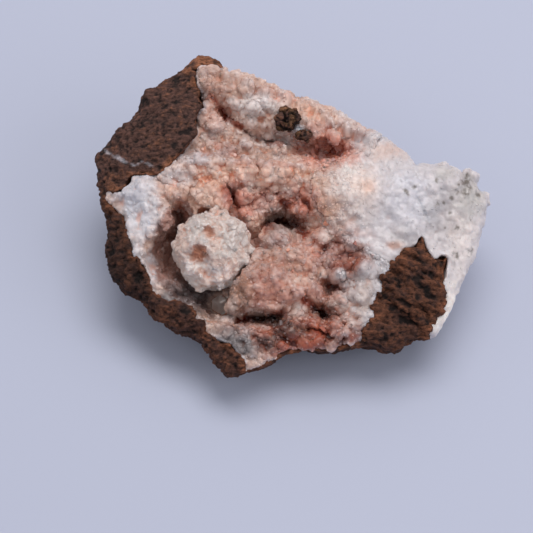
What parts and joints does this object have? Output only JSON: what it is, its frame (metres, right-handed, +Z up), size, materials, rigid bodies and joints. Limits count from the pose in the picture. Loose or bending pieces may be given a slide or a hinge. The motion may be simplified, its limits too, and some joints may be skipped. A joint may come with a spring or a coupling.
{
  "type": "aragonite specimen",
  "caption": "Broken limonite rock with an open hollow lined with pink and white aragonite crystals, a cauliflower crystal ball and a vein of massive white aragonite.",
  "frame": {"origin": "middle of the specimen's box, on the surface that it stands on", "axes": "+X along the specimen to its white end, +Y to its high back edge, +Z up; the crystal hollow opens up and to the front"},
  "size_m": [0.0906, 0.0742, 0.0338],
  "materials": {
    "limonite": "rough, earthy, dark rusty brown",
    "white_aragonite": "massive, granular, slightly translucent white",
    "pink_aragonite": "sugary crystals, slightly translucent pink to white with red-brown stains",
    "cream_aragonite": "knobbly, slightly translucent cream white",
    "clear_aragonite": "clear, greyish, glassy"
  },
  "bodies": {
    "root": {"limonite_matrix": "limonite", "white_aragonite_vein": "white_aragonite", "pink_crystal_lining": "pink_aragonite", "crystal_ball": "cream_aragonite", "clear_crystal": "clear_aragonite", "limonite_crumb_large": "limonite", "limonite_crumb_small": "limonite"}
  },
  "joints": []
}
